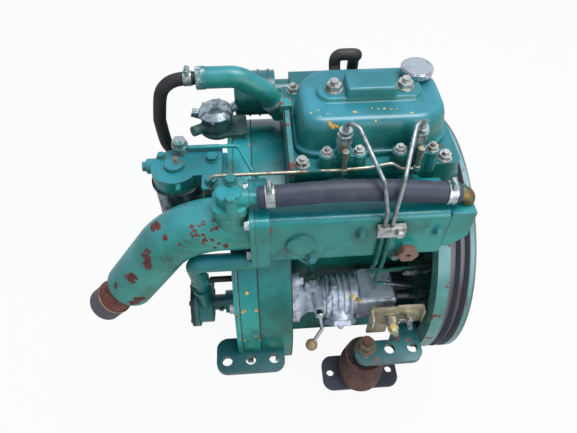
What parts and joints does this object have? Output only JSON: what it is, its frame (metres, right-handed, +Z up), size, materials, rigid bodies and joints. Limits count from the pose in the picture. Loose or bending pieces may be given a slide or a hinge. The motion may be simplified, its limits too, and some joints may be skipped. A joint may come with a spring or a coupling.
{
  "type": "marine diesel engine",
  "caption": "Inline marine diesel engine with a rear flywheel housing for a reverse gear, belt-groove flywheel, water-cooled exhaust, fuel pump and rubber mounts.",
  "frame": {"origin": "where the crank axis meets the rear face of the gear-mount ring", "axes": "+X along the crankshaft towards the flywheel, +Z up, -Y towards the exhaust and injection-pump side"},
  "size_m": [0.606, 0.52, 0.5765],
  "materials": {
    "cover_green": "semi-gloss mid teal-green engine enamel, worn, yellow and orange primer chips",
    "ring_green": "bright turquoise enamel, chipped along the edges",
    "dark_green": "darker green enamel, oily",
    "steel": "machined steel",
    "zinc": "bright zinc-plated steel",
    "chrome": "polished plate",
    "aluminium": "bare cast aluminium",
    "zinc_gold": "gold passivated zinc",
    "rust": "rusty brown iron",
    "rubber": "black rubber",
    "black": "satin black",
    "brass": "dull brass",
    "gasket": "fibre and steel gasket",
    "iron": "machined cast iron"
  },
  "bodies": {
    "engine": {"rear_ring": "ring_green", "timing_case": "dark_green", "hex_bolts": "zinc", "hex_nuts": "steel", "crankcase": "dark_green", "cylinder_liners": "iron", "sump": "dark_green", "cylinder_head": "cover_green", "head_gasket": "gasket", "rocker_cover": "cover_green", "injector_1": "steel", "injector_2": "steel", "injector_clamps": "cover_green", "leak_off_pipe": "cover_green", "fuel_unions": "zinc", "injection_pipe_1": "steel", "injection_pipe_2": "steel", "pipe_clamp": "steel", "exhaust_manifold": "cover_green", "manifold_cap": "cover_green", "hose_elbow": "brass", "exhaust_elbow": "cover_green", "exhaust_stub": "rust", "thermostat_cover": "cover_green", "coolant_hose": "rubber", "hose_clamps": "zinc", "coolant_tube": "cover_green", "water_pump": "ring_green", "water_pump_cover": "black", "filter_head": "cover_green", "filter_bowl": "steel", "fuel_line": "cover_green", "lift_pump": "steel", "rear_pipe": "cover_green", "small_hoses": "rubber", "injection_pump": "aluminium", "distributor_head": "black", "control_bracket": "zinc_gold", "throttle_spring": "steel", "brackets": "ring_green", "mount_shells": "rust", "mount_rubbers": "rubber", "intake_manifold": "cover_green", "oil_filter": "dark_green", "lifting_strap": "cover_green"},
    "crank": {"crankshaft": "steel", "crank_gear": "steel", "flywheel": "ring_green"},
    "cam": {"camshaft": "steel", "cam_gear": "steel"},
    "idler": {"idler_gear": "steel"},
    "pump_drive": {"pump_gear": "steel", "impeller": "rubber"},
    "piston_a": {"piston_1": "aluminium"},
    "piston_b": {"piston_2": "aluminium"},
    "throttle": {"throttle_lever": "zinc_gold"},
    "stop": {"stop_lever": "steel"},
    "hand_primer": {"hand_lever": "chrome"},
    "lift_primer": {"priming_lever": "steel"},
    "cap": {"filler_cap": "chrome"}
  },
  "joints": [
    {"name": "crank_turn", "type": "hinge", "parent": "engine", "child": "crank", "pos_m": [0.2, 0, 0], "axis": [1, 0, 0], "continuous": true},
    {"name": "cam_turn", "type": "hinge", "parent": "engine", "child": "cam", "pos_m": [0.2, 0.06385, 0.06385], "axis": [1, 0, 0], "continuous": true},
    {"name": "idler_turn", "type": "hinge", "parent": "engine", "child": "idler", "pos_m": [0.056, -0.04807, 0.04781], "axis": [1, 0, 0], "continuous": true},
    {"name": "pump_drive_turn", "type": "hinge", "parent": "engine", "child": "pump_drive", "pos_m": [0.056, -0.136, 0.005], "axis": [1, 0, 0], "continuous": true},
    {"name": "piston_1_stroke", "type": "slide", "parent": "engine", "child": "piston_a", "axis": [0, 0, 1], "range_m": [-0.08, 0]},
    {"name": "piston_2_stroke", "type": "slide", "parent": "engine", "child": "piston_b", "axis": [0, 0, 1], "range_m": [0, 0.08]},
    {"name": "throttle_turn", "type": "hinge", "parent": "engine", "child": "throttle", "pos_m": [0.25, -0.2, 0.018], "axis": [0, 1, 0], "range_deg": [-30, 20]},
    {"name": "stop_turn", "type": "hinge", "parent": "engine", "child": "stop", "pos_m": [0.276, -0.2, 0.026], "axis": [0, 1, 0], "range_deg": [-20, 20]},
    {"name": "hand_primer_turn", "type": "hinge", "parent": "engine", "child": "hand_primer", "pos_m": [0.133, -0.185, 0.03], "axis": [0, 1, 0], "range_deg": [-15, 25]},
    {"name": "lift_primer_turn", "type": "hinge", "parent": "engine", "child": "lift_primer", "pos_m": [-0.015, 0.079, 0.2285], "axis": [0, 0, 1], "range_deg": [-25, 25]},
    {"name": "cap_lift", "type": "slide", "parent": "engine", "child": "cap", "axis": [0, 0, 1], "range_m": [0, 0.03]}
  ],
  "couplings": [
    {"joint": "cam_turn", "follows": "crank_turn", "ratio": -0.5},
    {"joint": "idler_turn", "follows": "crank_turn", "ratio": -0.8},
    {"joint": "pump_drive_turn", "follows": "crank_turn", "ratio": 0.5}
  ]
}
